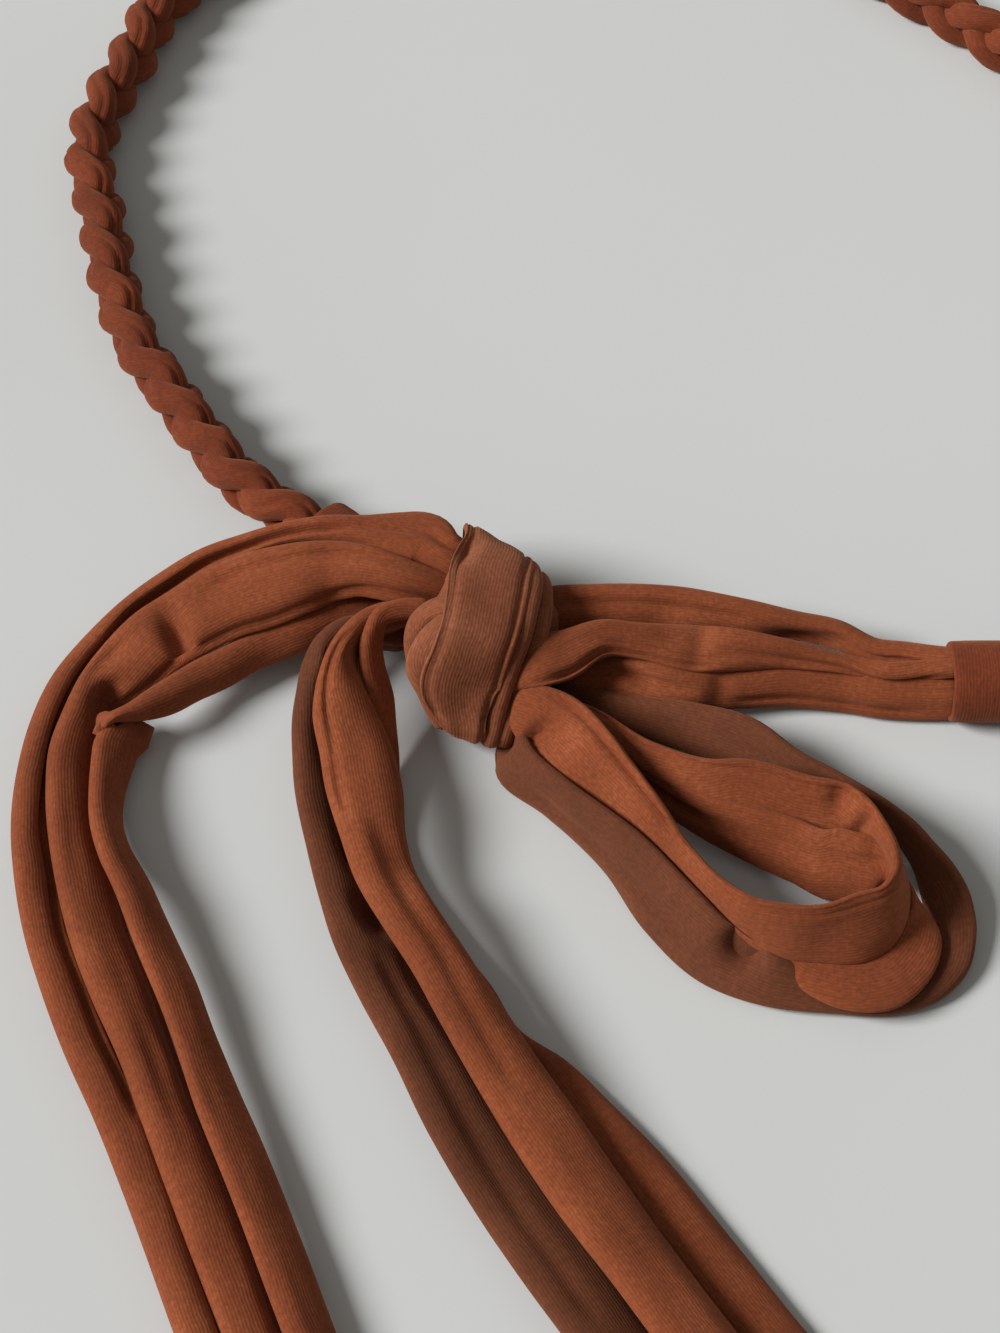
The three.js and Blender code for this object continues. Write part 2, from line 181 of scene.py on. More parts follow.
# A smooth line through a table's rows, all its columns together, in even steps of length
def throughRows(rows, step, closed=False):
    rows = np.array(rows, float)
    if closed:
        rows = np.vstack([rows[-1:], rows, rows[:2]])
    gaps = np.sqrt(np.linalg.norm(np.diff(rows[:, :3], axis=0), axis=1))
    knots = np.concatenate([[0], np.cumsum(gaps)])[:, None]
    slopes = np.diff(rows, axis=0) / np.diff(knots, axis=0)
    wide = knots[2:] - knots[:-2]
    inner = slopes[:-1] - (rows[2:] - rows[:-2]) / wide + slopes[1:]
    turns = np.vstack([slopes[:1], inner, slopes[-1:]])
    fine = []
    for k in range(closed, len(rows) - 1 - closed):
        t = np.linspace(0, 1, 40, endpoint=False)[:, None]
        reach = knots[k + 1] - knots[k]
        fine.append((2 * t**3 - 3 * t**2 + 1) * rows[k] + (t**3 - 2 * t**2 + t) * reach * turns[k]
                    + (3 * t**2 - 2 * t**3) * rows[k + 1] + (t**3 - t**2) * reach * turns[k + 1])
    fine = np.vstack([*fine, rows[-2:-1] if closed else rows[-1:]])
    length = np.concatenate([[0], np.cumsum(np.linalg.norm(np.diff(fine[:, :3], axis=0), axis=1))])
    stations = np.linspace(0, length[-1], max(4, round(length[-1] / step)) + 1)
    stations = stations[:-1] if closed else stations
    return np.column_stack([np.interp(stations, length, column) for column in fine.T]), stations


def unit(vectors):
    return vectors / np.maximum(np.linalg.norm(vectors, axis=-1, keepdims=True), 1e-9)


# Mesh of rings that all have the same number of points, with the cloth's own UV map
def ringMesh(name, rings, across, along, closed=False):
    count, sides = rings.shape[:2]
    points = rings.reshape(-1, 3)
    faces, uvs = [], []
    links = count if closed else count - 1
    period = along[-1] + np.linalg.norm(rings[0] - rings[-1], axis=1).mean() if closed else 0
    for r in range(links):
        n = (r + 1) % count
        v0, v1 = along[r], along[n] if n else period
        for k in range(sides):
            m = (k + 1) % sides
            faces.append((r * sides + k, r * sides + m, n * sides + m, n * sides + k))
            uvs += [(across[r, k], v0), (across[r, k + 1], v0), (across[n, k + 1], v1), (across[n, k], v1)]
    if not closed:
        for r, order in ((0, range(sides - 1, -1, -1)), (count - 1, range(sides))):
            faces.append(tuple(r * sides + k for k in order))
            uvs += [(across[r, k], along[r]) for k in order]
    mesh = bpy.data.meshes.new(name)
    mesh.from_pydata(placed(points).tolist(), [], faces)
    layer = mesh.uv_layers.new(name="UVMap")
    layer.data.foreach_set("uv", (np.array(uvs) / uvUnit).ravel())
    mesh.polygons.foreach_set("use_smooth", [True] * len(faces))
    mesh.update()
    return mesh


def addPiece(name, mesh, material):
    piece = bpy.data.objects.new(name, mesh)
    mesh.materials.clear()
    mesh.materials.append(material)
    scene.collection.objects.link(piece)
    return piece


# One flattened roll of jersey through given middles. Folds are grooves that run with the strip,
# dents are single hollows, and the relief is the cloth's slight waviness between them.
plain = {"sides": 48, "square": 2.3, "relief": 0.22, "seed": 1, "folds": [], "dents": [],
         "skirt": 0, "trim": 0, "step": 1.1}
underside = 0.05  # mm above the surface, where a roll's underside flattens


def roll(name, middles, across, up, wide, thick, stations, style, closed=False):
    sides = style["sides"]
    angles = 2 * np.pi * np.arange(sides) / sides
    c, s = np.cos(angles), np.sin(angles)
    power = 2 / style["square"]
    cx = np.sign(c) * np.abs(c)**power
    sy = np.sign(s) * np.abs(s)**(power if style["square"] < 3 else power * 1.1)
    half, deep = wide[:, None] / 2, thick[:, None] / 2
    flat = half * cx
    height = deep * sy
    at = stations[:, None] + 0 * flat
    share = flat / half
    # The underside reaches out past the top at the strip's left, as soft cloth does that sinks down
    flat = flat - style["skirt"] * np.clip(-sy, 0, 1)**0.7 * np.clip(-share, 0, 1)
    relief = style["relief"] * (softNoise(at / 26, flat / 2.6 + 40 + 60 * (sy > 0), style["seed"])
                                + 0.6 * softNoise(at / 9, flat / 3.4 + 9 + 60 * (sy > 0), style["seed"] + 1))
    height = height + relief * np.abs(sy)**0.5 * np.sign(sy)
    for side, start, end, place0, place1, width, depth in style["folds"]:
        run = np.clip((at - start) / (end - start), 0, 1)
        place = place0 + (place1 - place0) * run
        ease = np.clip((at - start) / 8, 0, 1) * np.clip((end - at) / 8, 0, 1)
        ease = ease * ease * (3 - 2 * ease)
        wander = 0.05 * softNoise(at / 18, at * 0 + 5, style["seed"] + 7)
        groove = np.exp(-((share - place - wander) * half / width)**2)
        face = np.clip(sy * side * 3, 0, 1)
        height = height - side * depth * groove * ease * face
    for side, middle, place, longReach, wideReach, turn, depth in style["dents"]:
        a = at - middle
        b = (share - place) * half
        t = math.radians(turn)
        a, b = a * math.cos(t) + b * math.sin(t), b * math.cos(t) - a * math.sin(t)
        hollow = np.exp(-(a / longReach)**2 - (b / wideReach)**2)
        height = height - side * depth * hollow * np.clip(sy * side * 3, 0, 1)
    rings = middles[:, None] + flat[..., None] * across[:, None] + height[..., None] * up[:, None]
    rings[..., 2] = np.where(rings[..., 2] < underside, underside + 0.02 * rings[..., 2], rings[..., 2])
    steps = np.linalg.norm(np.diff(np.concatenate([rings, rings[:, :1]], 1), axis=1), axis=2)
    round_ = np.concatenate([np.zeros((len(rings), 1)), np.cumsum(steps, 1)], 1)
    middleTop = round_[:, sides // 4][:, None]
    mesh = ringMesh(name, rings, round_ - middleTop, stations, closed)
    # Where across and up turn the other way round the strip, its faces would point inwards
    if np.dot(np.cross(across[0], up[0]), middles[1] - middles[0]) < 0:
        mesh.flip_normals()
    return mesh


def stripMesh(name, table, style):
    style = {**plain, **style}
    rows, stations = throughRows(table, style["step"])
    middles = rows[:, :3]
    ahead = unit(np.gradient(middles, axis=0))
    right = unit(np.cross(ahead, (0, 0, 1)))
    face = np.cross(right, ahead)
    lean = np.radians(rows[:, 5])[:, None]
    across = right * np.cos(lean) + face * np.sin(lean)
    up = np.cross(across, ahead)
    # The ends are drawn in a little, as a cut strip's are
    near = np.minimum(stations, stations[-1] - stations)
    drawn = np.sqrt(np.clip(near / 2.0, 0.06, 1))
    return roll(name, middles, across, up, rows[:, 3] * drawn**0.5, rows[:, 4] * drawn, stations, style)


strips = {
    "tail_left_1": {
        "skirt": 3.4, "seed": 11, "square": 2.2,
        "folds": [
            (1, 30, 210, -0.3, -0.5, 0.8, 2.2), (1, 2, 40, 0.35, -0.3, 0.9, 1.6),
        ],
        "rows": [
            (-2, 13.5, 16, 9, 6, 10), (-7, 14, 17.5, 9, 6, 15), (-11, 15, 19.5, 9, 6, 15),
            (-15.5, 18.5, 19.5, 12.5, 6, 5), (-21.5, 20, 19, 11.5, 6, 0),
            (-29, 21.5, 18.5, 7.5, 6, -5), (-37, 23, 17, 6, 6, 5), (-45, 23, 15.5, 5, 6, 15),
            (-53.5, 22, 13, 5, 6, 25), (-62, 19.5, 11, 5.5, 6, 20), (-69.5, 15.5, 9, 5.5, 6, 25),
            (-77.5, 9.5, 7, 5.5, 6, 20), (-85, 0, 6.5, 5.5, 6, 35), (-90, -9, 6, 6, 6, 40),
            (-93, -19, 5.5, 6, 6, 45), (-94, -31, 5.5, 7, 6, 40), (-93.5, -43.5, 5.5, 7.5, 6, 40),
            (-91, -54.5, 5.5, 9, 6, 35), (-88, -66.5, 5, 8.5, 6, 25), (-83.5, -78, 5, 9, 6, 25),
            (-78, -90.5, 4.5, 9, 6, 20), (-71, -104.5, 4.5, 9, 6, 20), (-63.5, -122, 4, 8, 6, 15),
            (-53.5, -146.5, 4, 7.5, 6, 15), (-49.5, -156.5, 4, 7.5, 6, 15),
        ],
    },
    "tail_left_2": {
        "skirt": 4.6, "seed": 12,
        "folds": [(1, 4, 64, 0.6, 0.35, 0.9, 1.1)],
        "dents": [
            (1, 72, -0.45, 2.6, 6, 8, 4.6), (1, 93, -0.45, 5, 2.6, 0, 3.6), (1, 86, 0.5, 7, 2, 10, 1.6),
            (1, 60, 0.2, 6, 5, 0, 0.9),
        ],
        "rows": [
            (-1.5, 9.5, 11, 5.5, 6, 20), (-7, 9, 13.5, 5, 6, 35), (-11.5, 8.5, 16.5, 5.5, 6, 25),
            (-20.5, 9.5, 19.5, 7, 6, 20), (-28.5, 11.5, 20, 8.5, 6, 30),
            (-35, 12.5, 18.5, 10.5, 6, 30), (-41.5, 11.5, 17.5, 13, 6, 20),
            (-49.5, 10, 15.5, 15, 6, 15), (-57, 8, 14, 15, 6, 10), (-64.5, 4.5, 12, 14, 6, 10),
            (-71.5, 0.5, 10, 13.5, 6, 10), (-77, -4, 7.5, 12.5, 6, 15),
            (-82.5, -9.5, 6, 9.5, 6, 35), (-85.5, -16.5, 5.5, 8.5, 6, 50),
            (-87, -25.5, 5.5, 9.5, 6, 45), (-86.5, -34, 5.5, 10, 6, 40),
            (-85, -43, 5.5, 11, 6, 40), (-82, -54, 5, 11.5, 6, 30), (-78, -67, 5, 11.5, 6, 30),
            (-72.5, -79.5, 4.5, 11.5, 6, 25), (-67, -92, 4, 10, 6, 25),
            (-62, -104.5, 4, 10, 6, 25), (-55, -120.5, 4, 10.5, 6, 20),
            (-44.5, -146, 3.5, 9.5, 6, 20), (-40, -156.5, 3.5, 9, 6, 20),
        ],
    },
    "tail_centre_2": {
        "skirt": 2, "seed": 14,
        "folds": [(1, 16, 64, 0.55, 0.7, 0.6, 0.9), (1, 60, 130, -0.2, 0.3, 2, 0.8)],
        "dents": [(1, 20, -0.7, 8, 2.6, 0, 2.6), (1, 72, -0.6, 8, 3, 0, 1.2)],
        "rows": [
            (-16.5, 6.5, 11, 4.5, 6, 60), (-22, 4, 13, 6, 6, 45), (-26.5, 1.5, 14, 6, 6, 45),
            (-30, -3.5, 15, 6.5, 6, 40), (-32, -8.5, 15.5, 7, 6, 25),
            (-32.5, -14.5, 14.5, 9.5, 6, 15), (-31.5, -20.5, 13, 13, 6, 15),
            (-29, -28.5, 11.5, 14.5, 6, 10), (-27, -38, 12, 15, 6, 10),
            (-25, -48.5, 12, 12.5, 6, 10), (-22.5, -57, 12, 12, 6, 15),
            (-17.5, -66.5, 12, 11.5, 6, 15), (-11.5, -76, 11, 12, 6, 20), (-6, -86, 11, 13, 6, 20),
            (1.5, -99, 10, 13.5, 6, 15), (9, -111, 9, 14.5, 6, 15), (16.5, -123, 9, 14.5, 6, 15),
            (25, -135.5, 9, 14, 6, 20), (33.5, -148, 9, 14, 6, 20), (40.5, -158, 9, 14.5, 6, 20),
        ],
    },
    "tail_centre_1": {
        "skirt": 2.4, "seed": 16,
        "folds": [(1, 30, 60, -0.2, -0.2, 0.8, 1.2), (1, 90, 180, 0.1, 0.3, 2, 0.7)],
        "dents": [(1, 68, -0.55, 6, 2.2, 0, 3.4), (1, 84, -0.35, 5, 3.4, 0, 3), (1, 102, -0.7, 9, 3, 0, 1.2)],
        "rows": [
            (-19, 3, 6.5, 5, 5.4, 35), (-25.5, 3, 8.5, 5.5, 5.4, 30), (-31.5, 2, 10, 6, 5.4, 20),
            (-36.5, -2, 10.5, 4.5, 5.4, 40), (-38.5, -6.5, 9.5, 3, 5.4, 60),
            (-39, -12, 8, 5.5, 5.4, 55), (-39, -19.5, 7, 8, 5.4, 55), (-38, -28, 6, 9.5, 5.4, 50),
            (-36.5, -36.5, 6, 10.5, 5.4, 45), (-34, -46, 5, 11, 5.4, 40),
            (-30.5, -56, 4.5, 12.5, 5.4, 30), (-26, -66.5, 4.5, 15, 5.4, 25),
            (-20.5, -78.5, 4, 15, 5.4, 25), (-14, -91, 4, 15, 5.4, 25), (-6, -107, 4, 16, 5.4, 25),
            (2.5, -121, 4, 16.5, 5.4, 20), (11.5, -134.5, 4, 17, 5.4, 20),
            (19, -146.5, 4, 16, 5.4, 25), (25.5, -156.5, 4, 16, 5.4, 25),
        ],
    },
    "left_tie_1": {
        "seed": 23, "rows": [(-31, 27, 9.5, 5, 4, 0), (-25, 20, 9, 5, 4, 0), (-16, 12, 10, 5, 4, 0)],
    },
    "left_tie_2": {
        "seed": 24, "rows": [(-34, 22, 9, 4, 4, 0), (-26, 15, 8, 5, 4, 0), (-15, 5, 9, 5, 4, 0)],
    },
    "left_tie_3": {
        "seed": 25, "rows": [(-33, 24, 5, 5, 4, 0), (-25, 17, 4, 5, 4, 0), (-14, 8, 5, 5, 4, 0)],
    },
}

# Which tone of jersey each strip shows. The real belt may well be one cloth: the tones follow how
# light or dark the photo shows each part, and two strips that it shows in shade are drawn darker.
def jerseyOf(name):
    if name.startswith(("braid", "collar")):
        return "braid_jersey"
    if name in ("tail_centre_1", "loop_3"):
        return "painted_shade_jersey"
    return "knot_jersey" if name.startswith("knot") else "loose_jersey"


pieces = {}
for name, strip in strips.items():
    mesh = stripMesh(name, strip["rows"], strip)
    pieces[name] = addPiece(name + "_cloth", mesh, materials[jerseyOf(name)])
print("strips:", len(strips))

# Strips whose edges show: the bow loop, the ties at the right and the bands wrapped round the knot
# from its underside up over the front and down behind. Each row gives the strip's left and right
# edge as seen along it: x, y, z and x, y, z.
bands = {
    "tail_left_3": {
        "seed": 13, "square": 2.1, "thick": 5, "relief": 0.3, "trim": 1.2,
        "rows": [
            (-22, 7, 5, -21, 11, 9), (-29, 4.5, 6, -27, 11.5, 11), (-36, 2, 6, -33.5, 11.5, 12),
            (-42, -1, 5, -41.5, 7.5, 12), (-49.5, -4, 4, -49.5, 4, 11),
            (-56.5, -8.5, 3.5, -56.5, -1, 10), (-62, -12, 4, -63.5, -5.5, 10),
            (-66.5, -16.5, 6, -70, -10.5, 10), (-71.5, -19, 8, -76, -16, 11),
            (-78, -20.5, 9, -80, -19, 11), (-79, -19.5, 6.5, -82.5, -20.5, 10),
            (-71, -17, 2.5, -82.5, -22.5, 10), (-73.5, -22.5, 2, -82.5, -28.5, 10),
            (-76, -32, 2, -81.5, -37.5, 11), (-76, -40.5, 3, -80, -45.5, 12),
            (-74, -47.5, 3.5, -77.5, -52.5, 12), (-68.5, -56.5, 3.5, -73.5, -61.5, 12),
            (-63.5, -67, 3.5, -69.5, -72, 12), (-58, -78, 3.5, -65, -82, 11),
            (-53, -90, 3.5, -60.5, -93, 10), (-47.5, -102, 3, -56, -105.5, 10),
            (-40, -118.5, 2.5, -49, -121.5, 9), (-29, -145.5, 2.5, -38, -148, 8),
            (-24.5, -156, 2.5, -33.5, -158, 8),
        ],
    },
    "tail_centre_3": {
        "seed": 15, "square": 2.2, "thick": 3.6, "relief": 0.25, "trim": 0.5,
        "rows": [
            (-14, 1.5, 14, -14, 4.5, 18), (-19.5, 1, 15, -20.5, 4.5, 18),
            (-23.5, -0.5, 15, -25.5, 2, 18), (-24.5, -3, 12, -28, -4, 17),
            (-24, -6.5, 9, -28, -10, 15), (-22, -12.5, 6, -27, -15, 12),
            (-21.5, -20, 3, -25, -20.5, 9), (-20.5, -27.5, 2, -24.5, -27, 4),
            (-21, -41, 1.5, -25, -41.5, 2.5), (-17.5, -52.5, 1.5, -21.5, -54.5, 2.5),
            (-9.5, -65.5, 1.5, -15, -68, 2.5), (-1.5, -76.5, 1.5, -7.5, -79.5, 2.5),
            (4, -86, 1.5, -2.5, -87, 2.5), (13.5, -93.5, 1.5, 4, -94, 3),
            (21.5, -102, 1.5, 10.5, -103.5, 4), (30.5, -112, 1.5, 18.5, -114.5, 4),
            (39, -123.5, 1.5, 27, -127, 4), (47.5, -135.5, 1.5, 35.5, -138.5, 4),
            (54.5, -145.5, 1.5, 41.5, -146.5, 4), (62, -155.5, 1.5, 48.5, -156.5, 4),
        ],
    },
    "loop_1": {
        "seed": 17, "square": 3.4, "thick": 2.6, "relief": 0.18,
        "folds": [
            (1, 48, 104, -0.74, -0.74, 0.5, 0.6), (1, 48, 104, -0.9, -0.9, 0.35, 0.45),
            (-1, 108, 186, -0.74, -0.74, 0.5, 0.6), (1, 5, 48, -0.8, -0.72, 0.6, 2.2),
        ],
        "dents": [
            (1, 8, 0.35, 1.2, 5, 30, 3), (1, 12, 0.05, 1.1, 4.5, 30, 2.2), (1, 84, 0.1, 5, 5, 0, 0.9),
            (1, 16, -0.1, 1, 4, 30, 1.5),
            (-1, 126, -0.45, 2.2, 3, 0, 2), (-1, 120, 0.1, 1.2, 7, -15, 1.6),
        ],
        "rows": [
            (4.5, -17, 14, -0.5, -21, 8), (9, -17.5, 17, 2.5, -24, 8), (15.5, -21, 18, 6, -28.5, 8),
            (22.5, -29.5, 18, 10.5, -34.5, 9), (27.5, -37.5, 18, 16, -38.5, 8),
            (33, -47, 18, 23.5, -45.5, 8), (38, -57, 18, 31.5, -53, 8),
            (43, -64, 19, 39, -61.5, 8), (48.5, -68, 20, 45, -68.5, 8),
            (54.5, -69, 20, 52.5, -73, 8), (61, -69, 20, 61, -74.5, 8),
            (67.5, -66.5, 20, 69, -74.5, 8), (73, -64, 20, 74.5, -71, 8),
            (75.5, -59, 20, 78, -65, 8), (74.5, -51.5, 19, 78.5, -58, 8),
            (71, -45, 18, 76.5, -51.5, 8), (66.5, -40, 17, 71.5, -48, 8),
            (58, -37.5, 17, 63, -45.5, 8), (47.5, -34, 17, 51.5, -43.5, 9),
            (39.5, -33, 16, 41, -40, 10), (29, -28, 15, 31, -34, 11), (19, -20, 14, 21, -26.5, 12),
            (9.5, -15.5, 14, 12, -19, 11),
        ],
    },
    "loop_2": {
        "seed": 19, "square": 3.2, "thick": 2.6, "relief": 0.18,
        "folds": [(-1, 116, 190, -0.25, 0, 0.7, 2.2)],
        "rows": [
            (9, -16, 9, 4, -20.5, 5), (20, -30, 11, 12.5, -34.5, 5), (31.5, -44, 11, 24, -48.5, 5),
            (42, -57.5, 11, 37.5, -62, 5), (51.5, -67, 10, 48.5, -72, 5),
            (59, -71, 8, 57.5, -78.5, 5), (67.5, -72, 7.5, 65.5, -83, 5),
            (75, -69.5, 7.5, 73.5, -83.5, 5), (78, -63, 8, 79.5, -81, 5),
            (78, -56.5, 9, 84, -74, 5), (75.5, -51.5, 10, 83, -65.5, 5), (71, -49, 11, 81, -59, 4),
            (66, -48, 12, 74.5, -58, 3), (61.5, -46.5, 12, 66, -57.5, 2),
            (57, -44.5, 12, 57.5, -53, 2), (47.5, -41.5, 12, 47.5, -48, 3),
            (37.5, -37.5, 12, 39, -43, 4), (27, -28.5, 12, 28, -34.5, 4),
            (15, -19.5, 12, 16.5, -23, 5), (8, -14, 12, 9, -15, 5),
        ],
    },
    "loop_3": {
        "seed": 18, "square": 2.6, "thick": 3.6, "relief": 0.25,
        "folds": [
            (1, 10, 64, 0.35, 0.1, 1.2, 0.9), (-1, 186, 218, -0.6, 0.2, 0.8, 2.2),
            (-1, 180, 214, 0.1, 0.4, 0.6, 1.5),
        ],
        "dents": [(1, 70, -0.66, 3.4, 3.2, 0, 7.5), (1, 3, 0.2, 2, 4, 0, 3), (-1, 133, -0.2, 6, 3, 0, 2)],
        "rows": [
            (4, -20, 9, -1, -21.5, 3), (6, -27, 11, 0, -28.5, 1), (13.5, -37.5, 13, 9, -36.5, 1),
            (27, -50, 14, 20.5, -50, 1), (36.5, -61, 14, 28.5, -63.5, 1),
            (45.5, -70, 12, 38.5, -74.5, 1), (54.5, -73.5, 8, 50, -80, 1.5),
            (65.5, -75.5, 3.4, 63, -82, 2), (75, -76.5, 2, 74.5, -82.5, 2),
            (81.5, -74, 2, 84, -79.5, 2), (84.5, -68.5, 2, 90, -74, 2.5),
            (84.5, -62.5, 2, 92.5, -67, 3.5), (83, -57.5, 2, 92.5, -61.5, 5),
            (81.5, -50.5, 2, 90, -56, 7), (80, -45, 2, 86, -51.5, 9), (77, -40, 2, 81.5, -46, 10.5),
            (71.5, -35.5, 2, 75, -40, 11.5), (65, -34, 2, 67.5, -34.5, 12),
            (56.5, -31.5, 2, 59.5, -29, 12), (48, -27.5, 2, 51, -21, 11.5),
            (38, -22.5, 2, 40.5, -16.5, 10), (26.5, -18.5, 3, 27, -13.5, 9),
            (16, -14, 4, 15.5, -10, 9), (11.5, -12, 5, 10, -7, 10),
        ],
    },
    "right_tie_1": {
        "seed": 21, "square": 2.1, "thick": 6, "relief": 0.3,
        "folds": [(1, 6, 50, -0.35, 0.1, 1.0, 1.1), (1, 62, 92, -0.3, 0.1, 0.7, 1.0)],
        "dents": [(1, 62, 0.6, 9, 1.8, 0, 3.6), (1, 30, 0.4, 5, 3, 0, 1.2)],
        "rows": [
            (4, 8.5, 12, 4, 3, 8), (10, 9.5, 15, 10, 0.5, 9), (20.5, 9.5, 16, 20.5, 2, 10.5),
            (29, 9.5, 16, 29, 2, 11), (37.5, 9.5, 15, 37.5, 2, 10), (45.5, 8.5, 14, 45.5, 2.5, 9),
            (54, 7, 13, 53, 2, 8), (62, 5, 12, 61.5, 2, 7), (70.5, 3.5, 11, 69.5, 0.5, 6),
            (77.5, -0.5, 10, 76.5, -2.5, 5), (83.5, -1.5, 10, 84, -3.5, 6),
            (91.5, -4, 11, 92, -5, 8), (96, -3.5, 11, 96, -5.5, 9),
        ],
    },
    "right_tie_2": {
        "seed": 20, "square": 2.6, "thick": 4, "relief": 0.3,
        "folds": [
            (1, 6, 52, 0.85, 0.75, 0.6, 1.6), (1, 22, 56, 0.4, 0.5, 0.5, 1.1),
            (1, 46, 98, 0.2, 0.3, 0.7, 1.1),
        ],
        "dents": [(1, 46, 0, 2.4, 7, 12, 0.9), (1, 40, -0.2, 5, 2, 0, 0.7)],
        "rows": [
            (0, -10.5, 13, -0.5, -16, 10), (4, -9.5, 17, 3, -16.5, 14), (8, -6.5, 19, 7.5, -17.5, 17),
            (13, -3.5, 18.5, 13.5, -15, 17), (20.5, -1, 17.7, 21, -8.7, 16.4),
            (28.5, -1, 16.5, 28.5, -8, 14.5), (39, -0.2, 14.8, 39, -9.4, 12),
            (49, -1, 14.5, 49.5, -8, 10),
            (59.5, -3.5, 14, 59.5, -6.5, 9), (69.5, -5.5, 12, 70, -7.5, 9),
            (79.5, -9, 12, 80, -8, 8), (88, -8, 12, 88.5, -8.5, 9), (95, -7.5, 13, 95.5, -9, 10),
        ],
    },
    "right_tie_3": {
        "seed": 22, "square": 2.1, "thick": 5.5, "relief": 0.3,
        "folds": [(1, 34, 78, 0.45, 0.55, 0.6, 1.1), (1, 4, 30, -0.2, 0.2, 0.8, 1.2)],
        "dents": [(1, 33, 0, 2.4, 7, 12, 0.9), (1, 16, 0.1, 5, 2, 12, 1.5)],
        "rows": [
            (12.5, -7.5, 8, 12.5, -10.5, 6.5), (17, -6.5, 9, 17, -11, 6.5),
            (20.5, -5.5, 10, 20.5, -11.5, 7),
            (25.5, -5.5, 12, 25, -12.5, 8), (33, -7, 12, 31.5, -14, 7), (41, -7.5, 10, 41, -14, 5),
            (49.5, -6.5, 9, 49.5, -12.5, 3), (59.5, -5, 9, 60, -11.5, 2),
            (70, -5.5, 9, 70.5, -12, 1), (78, -7.5, 9, 78.5, -13.5, 1), (88.5, -8, 9, 88, -14, 1),
            (95.5, -8.5, 9, 95.5, -14, 2),
        ],
    },
    "knot_wrap_1": {
        "closed": True, "seed": 31, "square": 3.6, "thick": 2.8, "relief": 0.16, "step": 0.8,
        "folds": [
            (1, 18, 86, -0.8, -0.76, 0.45, 0.7), (1, 18, 80, -0.9, -0.9, 0.3, 0.5),
            (1, 10, 76, 0.86, 0.8, 0.5, 0.8),
        ],
        "dents": [(1, 60, -0.7, 5, 1.6, 0, 2.2), (1, 26, 0.2, 7, 3, 20, 0.7), (1, 78, -0.6, 5, 1.4, 0, 2)],
        "rows": [
            (-10, -8, 1.6, -3, -8, 1.6), (-10.5, -17, 3.2, -4, -18, 2.6),
            (-10.5, -21.7, 10, -3, -23.3, 8), (-13.7, -19.9, 15, -1.6, -20.3, 12),
            (-15.8, -17.8, 20, 0, -17, 16), (-13.5, -13.5, 25, 1.8, -13.1, 21),
            (-11.6, -8.1, 27, 3.6, -9.1, 24), (-10.7, -1.3, 27.5, 5.5, -0.7, 25),
            (-9.8, 7.8, 26, 6.3, 4.5, 24), (-7.4, 16, 24, 6.6, 9.5, 21.5),
            (-7.4, 22.5, 19, 5.4, 14, 17), (-7.5, 23, 12, 4, 16, 10), (-8, 17, 4, 2, 12, 3.5),
            (-9, 5, 1.6, -1, 4, 1.6),
        ],
    },
    "knot_wrap_2": {
        "closed": True, "seed": 32, "square": 2.2, "thick": 3, "relief": 0.1, "step": 0.8,
        "rows": [
            (-3, -8, 1.8, 0, -8, 1.8), (-4, -18, 3, -1, -19, 3), (-3.4, -22.6, 7, -0.2, -23, 6.5),
            (-2.2, -19.2, 11.5, 1, -19.8, 10.8), (-0.8, -16, 16, 2.4, -16.4, 15),
            (1, -12.4, 20, 4.2, -12.8, 19), (3, -8.2, 23, 6.2, -8.4, 22),
            (4.5, -1.6, 24.3, 7.7, -1.8, 23.4), (5.4, 5.4, 23, 8.6, 5, 22),
            (4.6, 12.4, 19, 7.6, 11.8, 18), (3, 15, 10, 6, 14, 10), (1, 10, 3, 4, 10, 3),
        ],
    },
    "knot_wrap_3": {
        "closed": True, "seed": 33, "square": 2.2, "thick": 3.4, "relief": 0.12, "step": 0.8,
        "rows": [
            (0, -8, 2, 3.6, -8, 2), (-1, -18, 3, 2.4, -19, 3), (-1, -22.4, 6.6, 2.4, -22.4, 6),
            (1.2, -18, 11, 4.8, -18.2, 10.4), (3.2, -13.8, 15.4, 6.8, -14, 14.6),
            (5, -9.2, 19.2, 8.6, -9.4, 18.4), (6.6, -3.2, 21.4, 10.2, -3.4, 20.6),
            (7.2, 4.6, 20.4, 10.6, 4.4, 19.6), (6.4, 10.8, 17, 9.6, 10, 16.4), (5, 13, 9, 8, 12, 9),
            (3, 8, 3, 6, 8, 3),
        ],
    },
}


def bandMesh(name, band):
    style = {**plain, **band}
    closed = "closed" in band
    edges = np.array(band["rows"], float)
    rows = np.column_stack([(edges[:, :3] + edges[:, 3:]) / 2, edges[:, 3:] - edges[:, :3]])
    rows, stations = throughRows(rows, style["step"], closed)
    middles = rows[:, :3]
    ahead = np.roll(middles, -1, 0) - np.roll(middles, 1, 0) if closed else np.gradient(middles, axis=0)
    ahead = unit(ahead)
    spread = rows[:, 3:] - ahead * np.sum(rows[:, 3:] * ahead, axis=1, keepdims=True)
    wide = np.linalg.norm(spread, axis=1) + 0.4 - style["trim"]
    across = unit(spread)
    up = np.cross(across, ahead)
    thick = np.full(len(rows), float(band["thick"]))
    if not closed:
        near = np.minimum(stations, stations[-1] - stations)
        drawn = np.sqrt(np.clip(near / 2.0, 0.06, 1))
        wide, thick = wide * drawn**0.5, thick * drawn
    return roll(name, middles, across, up, wide, thick, stations, style, closed)


for name, band in bands.items():
    pieces[name] = addPiece(name + "_cloth", bandMesh(name, band), materials[jerseyOf(name)])
print("bands:", len(bands))

